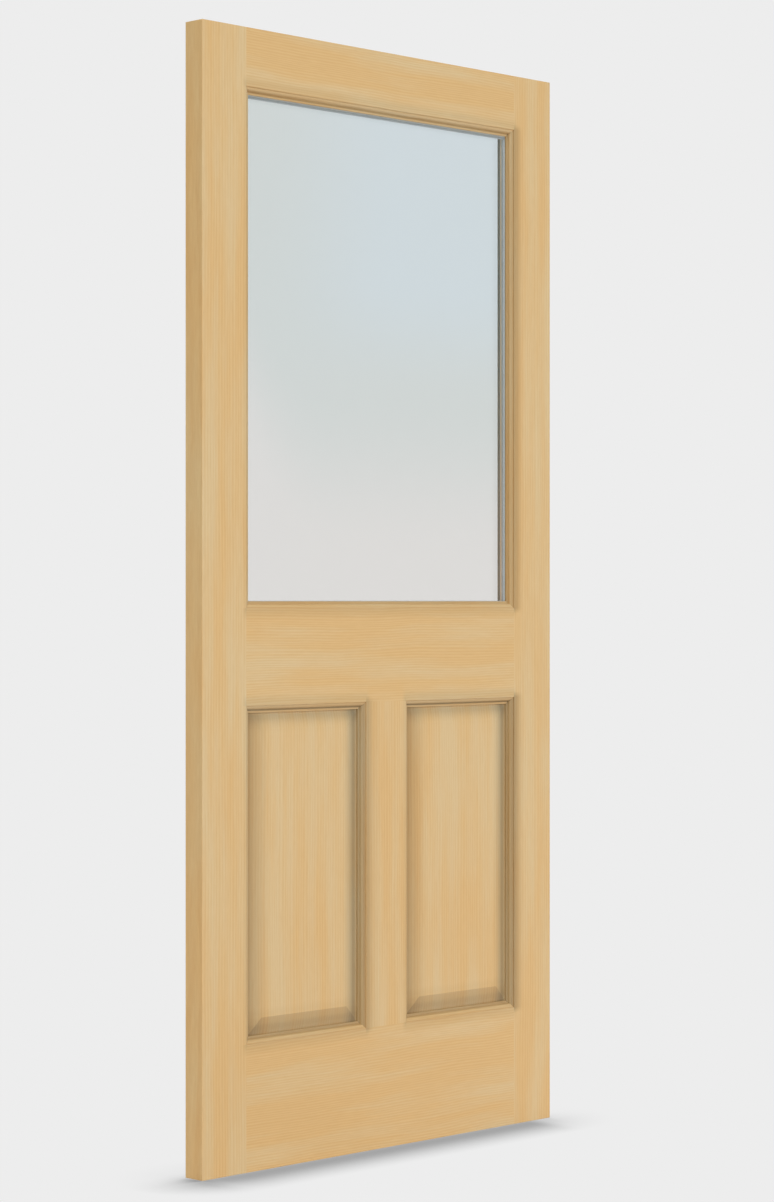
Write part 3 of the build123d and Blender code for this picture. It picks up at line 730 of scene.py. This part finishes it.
class DOORLEAF_OT_seals(Operator):
    """Finish the tapes, the seals and the setting blocks"""

    bl_idname = "doorleaf.seals"
    bl_label = "Tapes, Seals and Blocks"

    def execute(self, context):
        settings = context.scene.door_leaf_glazing
        tape_roughness = 0.7
        front_tape = rubbery("Grey butyl glazing tape, pressed", settings.tape, tape_roughness)
        rear_tape = rubbery("Buff butyl glazing tape, pressed", settings.rear_tape, tape_roughness)
        dress("front_glazing_tape", front_tape)
        dress("rear_glazing_tape", rear_tape)
        sealant = rubbery("Grey sealant, gunned and tooled", settings.sealant, 0.55)
        for name in ("edge_sealant", "front_butyl_seal", "rear_butyl_seal"):
            dress(name, sealant)
        dress("setting_blocks", rubbery("Hard black rubber, moulded", linear("2d2e30"), 0.6))
        return {"FINISHED"}


class DOORLEAF_OT_sealant_fillet(Operator):
    """Run a thin fillet of sealant between the front of the glass unit and the wood round it"""

    bl_idname = "doorleaf.sealant_fillet"
    bl_label = "Sealant Fillet"

    def execute(self, context):
        # Its face is hollowed, its section lies on the glass and against the wood, and its four runs
        # meet in mitres at the corners of the sight line
        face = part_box("front_pane")[0][1]
        on_glass, up_the_wood, under_the_wood, lip_back = 0.0026, 0.0019, 0.0012, 0.0014
        clearance = 0.00003
        arc_steps = 5
        # Along the base it keeps only this share of its width on the glass
        base_share = 0.3
        # The section, from the toe on the glass up to the wood and back under it: how far inside the
        # sight line, and how far off the glass
        section = [(on_glass, clearance)]
        for step in range(1, arc_steps):
            turn = math.radians(90 * step / arc_steps)
            section.append((on_glass * (1 - math.sin(turn)) + clearance,
                            up_the_wood * (1 - math.cos(turn))))
        section += [(clearance, up_the_wood), (clearance, lip_back), (-under_the_wood, lip_back),
                    (-under_the_wood, clearance)]
        left, right, base, top = SIGHT_LINE
        vertices = []
        for inside, off in section:
            y = face - off
            above = inside if inside <= clearance else clearance + base_share * (inside - clearance)
            vertices += [(left + inside, y, base + above), (right - inside, y, base + above),
                         (right - inside, y, top - inside), (left + inside, y, top - inside)]
        faces = []
        count = len(section)
        for row in range(count):
            here, ahead = 4 * row, 4 * ((row + 1) % count)
            for corner in range(4):
                beside = (corner + 1) % 4
                faces.append((here + corner, here + beside, ahead + beside, ahead + corner))
        mesh = bpy.data.meshes.new("front_sealant_fillet")
        mesh.from_pydata(vertices, [], faces)
        shell = bmesh.new()
        shell.from_mesh(mesh)
        bmesh.ops.recalc_face_normals(shell, faces=shell.faces)
        shell.to_mesh(mesh)
        shell.free()
        colour = context.scene.door_leaf_glazing.fillet
        mesh.materials.append(rubbery("Pale grey sealant, tooled to a fillet", colour, 0.5))
        fillet = bpy.data.objects.new("front_sealant_fillet", mesh)
        context.scene.collection.objects.link(fillet)
        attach(fillet, "root")
        return {"FINISHED"}


class DOORLEAF_OT_brads(Operator):
    """Finish the brads that hold the beads"""

    bl_idname = "doorleaf.brads"
    bl_label = "Brads"

    def execute(self, context):
        # Drawn wire glints, and the die leaves marks less than 1 mm wide
        material, tree, output = new_material("Drawn steel wire, bright")
        place = add_node(tree, "ShaderNodeTexCoord")
        marks = add_node(tree, "ShaderNodeTexNoise", None,
                         {"Vector": place.outputs["Object"], "Scale": 2500.0, "Detail": 1.0})
        roughness = add_node(tree, "ShaderNodeMapRange", None,
                             {"Value": marks.outputs["Fac"], "To Min": 0.3, "To Max": 0.5})
        surface = add_node(tree, "ShaderNodeBsdfPrincipled", None,
                           {"Base Color": linear("b9b9b6"), "Metallic": 1.0,
                            "Roughness": roughness.outputs[0]})
        tree.links.new(surface.outputs[0], output.inputs["Surface"])
        dress("bead_brads", material)
        return {"FINISHED"}


def background_rays(tree):
    """The light path, and a factor of one where a ray comes from the camera or through glass."""
    path = add_node(tree, "ShaderNodeLightPath")
    seen = add_node(tree, "ShaderNodeMath", {"operation": "MAXIMUM"},
                    {0: path.outputs["Is Camera Ray"], 1: path.outputs["Is Transmission Ray"]})
    return path, seen


class DOORLEAF_OT_studio(Operator):
    """Lay the floor, light the leaf softly and set up the camera"""

    bl_idname = "doorleaf.studio"
    bl_label = "Studio"

    def execute(self, context):
        settings = context.scene.door_leaf_studio
        self.lay_floor(settings)
        self.set_sky(context.scene, settings)
        self.hang_lamps(context.scene, settings)
        self.set_camera(context.scene, settings)
        context.scene.view_settings.view_transform = "Standard"
        return {"FINISHED"}

    def lay_floor(self, settings):
        """A wide pale floor that only shows a painted soft shadow where the leaf stands on it."""
        corners = [(x * FLOOR_REACH, y * FLOOR_REACH, -FLOOR_DROP)
                   for x, y in ((-1, -1), (1, -1), (1, 1), (-1, 1))]
        mesh = bpy.data.meshes.new("floor")
        mesh.from_pydata(corners, [], [(0, 1, 2, 3)])
        floor = bpy.data.objects.new("floor", mesh)
        bpy.context.scene.collection.objects.link(floor)
        material, tree, output = new_material("Pale studio floor, matt")
        path, seen = background_rays(tree)
        seen = add_node(tree, "ShaderNodeMath", {"operation": "MAXIMUM"},
                        {0: seen.outputs[0], 1: path.outputs["Is Glossy Ray"]})
        place = add_node(tree, "ShaderNodeTexCoord")
        split = add_node(tree, "ShaderNodeSeparateXYZ", None, {0: place.outputs["Object"]})
        # The painted shadow leans as if the soft light came a little from the right
        leaning = add_node(tree, "ShaderNodeCombineXYZ", None, {"X": 0.2, "Y": 0.0, "Z": 0.98})
        covered = add_node(tree, "ShaderNodeAmbientOcclusion", {"samples": 24},
                           {"Distance": settings.shadow_reach, "Normal": leaning.outputs[0]})
        light = PAINTED_FLOOR_SHADOW[0]
        for term in PAINTED_FLOOR_SHADOW[1:]:
            light = add_node(tree, "ShaderNodeMath", {"operation": "MULTIPLY_ADD"},
                             {0: light, 1: covered.outputs["AO"], 2: term}).outputs[0]
        # The painted shadow thins out behind the leaf and past its right end, and deepens past its
        # left end
        behind = add_node(tree, "ShaderNodeMapRange", {"interpolation_type": "SMOOTHSTEP"},
                          {"Value": split.outputs["Y"], "From Min": -0.074, "From Max": 0.066,
                           "To Min": 1.0, "To Max": 0.12})
        past_right = add_node(tree, "ShaderNodeMapRange", {"interpolation_type": "SMOOTHSTEP"},
                              {"Value": split.outputs["X"], "From Min": 0.38, "From Max": 0.43,
                               "To Min": 1.0, "To Max": 0.55})
        past_left = add_node(tree, "ShaderNodeMapRange", {"interpolation_type": "SMOOTHSTEP"},
                             {"Value": split.outputs["X"], "From Min": -0.435, "From Max": -0.475,
                              "To Min": 1.0, "To Max": 1.5})
        depth = add_node(tree, "ShaderNodeMath", {"operation": "MULTIPLY"},
                         {0: behind.outputs[0], 1: past_right.outputs[0]})
        depth = add_node(tree, "ShaderNodeMath", {"operation": "MULTIPLY"},
                         {0: depth.outputs[0], 1: past_left.outputs[0]})
        painted_shadow = add_node(tree, "ShaderNodeMix", {"data_type": "FLOAT", "clamp_factor": False},
                          {"Factor": depth.outputs[0], "A": 1.0, "B": light})
        shown = add_node(tree, "ShaderNodeVectorMath", {"operation": "SCALE"},
                         {0: settings.backdrop[:3], "Scale": painted_shadow.outputs["Result"]})
        glow = add_node(tree, "ShaderNodeEmission", None, {"Color": shown.outputs[0]})
        matt = add_node(tree, "ShaderNodeBsdfDiffuse", None, {"Color": linear("e6e6e6")})
        mixed = add_node(tree, "ShaderNodeMixShader", None,
                         {0: seen.outputs[0], 1: matt.outputs[0], 2: glow.outputs[0]})
        tree.links.new(mixed.outputs[0], output.inputs["Surface"])
        mesh.materials.append(material)

    def set_sky(self, scene, settings):
        """Even light all round. Glass and varnish mirror a pale room that turns cooler higher up."""
        world = bpy.data.worlds.new("Studio")
        world.use_nodes = True
        scene.world = world
        tree = world.node_tree
        tree.nodes.clear()
        output = add_node(tree, "ShaderNodeOutputWorld")
        path, seen = background_rays(tree)
        place = add_node(tree, "ShaderNodeTexCoord")
        split = add_node(tree, "ShaderNodeSeparateXYZ", None, {0: place.outputs["Generated"]})
        height = add_node(tree, "ShaderNodeMapRange", {"interpolation_type": "SMOOTHSTEP"},
                          {"Value": split.outputs["Z"], "From Min": 0.0, "From Max": 0.11})
        room = add_node(tree, "ShaderNodeMix", {"data_type": "RGBA"},
                        {"Factor": height.outputs[0], "A": settings.room_low, "B": settings.room_high})
        even = (settings.ambient,) * 3 + (1.0,)
        mirrored = add_node(tree, "ShaderNodeMix", {"data_type": "RGBA"},
                            {"Factor": path.outputs["Is Glossy Ray"], "A": even,
                             "B": room.outputs["Result"]})
        shown = add_node(tree, "ShaderNodeMix", {"data_type": "RGBA"},
                         {"Factor": seen.outputs[0], "A": mirrored.outputs["Result"],
                          "B": settings.backdrop})
        sky = add_node(tree, "ShaderNodeBackground", None, {"Color": shown.outputs["Result"]})
        tree.links.new(sky.outputs[0], output.inputs["Surface"])

    def hang_lamps(self, scene, settings):
        """Two broad soft lamps: one in front, above and to the left, one behind."""
        # For each: its name, where it stands as seen from the leaf, its strength and its width in
        # degrees
        lamps = (
            ("key_lamp", (-0.30, -0.62, 0.72), settings.key, 50),
            ("back_lamp", (0.45, 0.68, 0.58), settings.fill, 60),
        )
        for name, towards, strength, spread in lamps:
            data = bpy.data.lights.new(name, "SUN")
            data.energy = strength * math.pi
            data.angle = math.radians(spread)
            lamp = bpy.data.objects.new(name, data)
            lamp.location = Vector(towards) * LAMP_DISTANCE
            lamp.rotation_mode = "QUATERNION"
            lamp.rotation_quaternion = (-Vector(towards)).to_track_quat("-Z", "Y")
            lamp.visible_glossy = False
            lamp.visible_transmission = False
            scene.collection.objects.link(lamp)

    def set_camera(self, scene, settings):
        """Eye height halfway up the leaf, from the front and the left."""
        data = bpy.data.cameras.new("camera")
        data.lens = settings.camera_lens
        data.sensor_width = 36.0
        camera = bpy.data.objects.new("camera", data)
        camera.location = CAMERA_PLACE
        camera.rotation_euler = (math.radians(90), 0.0, -math.atan2(*CAMERA_TOWARDS))
        scene.collection.objects.link(camera)
        scene.camera = camera


OPERATORS = (
    DOORLEAF_OT_frame_members,
    DOORLEAF_OT_panels,
    DOORLEAF_OT_beads,
    DOORLEAF_OT_dowels,
    DOORLEAF_OT_panes,
    DOORLEAF_OT_spacer_bars,
    DOORLEAF_OT_seals,
    DOORLEAF_OT_sealant_fillet,
    DOORLEAF_OT_brads,
    DOORLEAF_OT_studio,
)


class DOORLEAF_PT_sidebar(Panel):
    """Finishes and studio of the door leaf"""

    bl_idname = "DOORLEAF_PT_sidebar"
    bl_label = "Door Leaf"
    bl_space_type = "VIEW_3D"
    bl_region_type = "UI"
    bl_category = "Door Leaf"

    def draw(self, context):
        scene = context.scene
        for group in (scene.door_leaf_fir, scene.door_leaf_glazing, scene.door_leaf_studio):
            box = self.layout.box()
            for name in group.__annotations__:
                box.prop(group, name)
        for operator in OPERATORS:
            self.layout.operator(operator.bl_idname)


CLASSES = (DoorLeafFir, DoorLeafGlazing, DoorLeafStudio, *OPERATORS, DOORLEAF_PT_sidebar)


def register():
    for cls in CLASSES:
        bpy.utils.register_class(cls)
    bpy.types.Scene.door_leaf_fir = PointerProperty(type=DoorLeafFir)
    bpy.types.Scene.door_leaf_glazing = PointerProperty(type=DoorLeafGlazing)
    bpy.types.Scene.door_leaf_studio = PointerProperty(type=DoorLeafStudio)


def unregister():
    del bpy.types.Scene.door_leaf_studio
    del bpy.types.Scene.door_leaf_glazing
    del bpy.types.Scene.door_leaf_fir
    for cls in reversed(CLASSES):
        bpy.utils.unregister_class(cls)


def main():
    """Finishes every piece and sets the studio."""
    register()
    bpy.ops.doorleaf.frame_members()
    bpy.ops.doorleaf.panels()
    bpy.ops.doorleaf.beads()
    bpy.ops.doorleaf.dowels()
    bpy.ops.doorleaf.panes()
    bpy.ops.doorleaf.spacer_bars()
    bpy.ops.doorleaf.seals()
    bpy.ops.doorleaf.sealant_fillet()
    bpy.ops.doorleaf.brads()
    bpy.ops.doorleaf.studio()


if __name__ == "__main__":
    main()
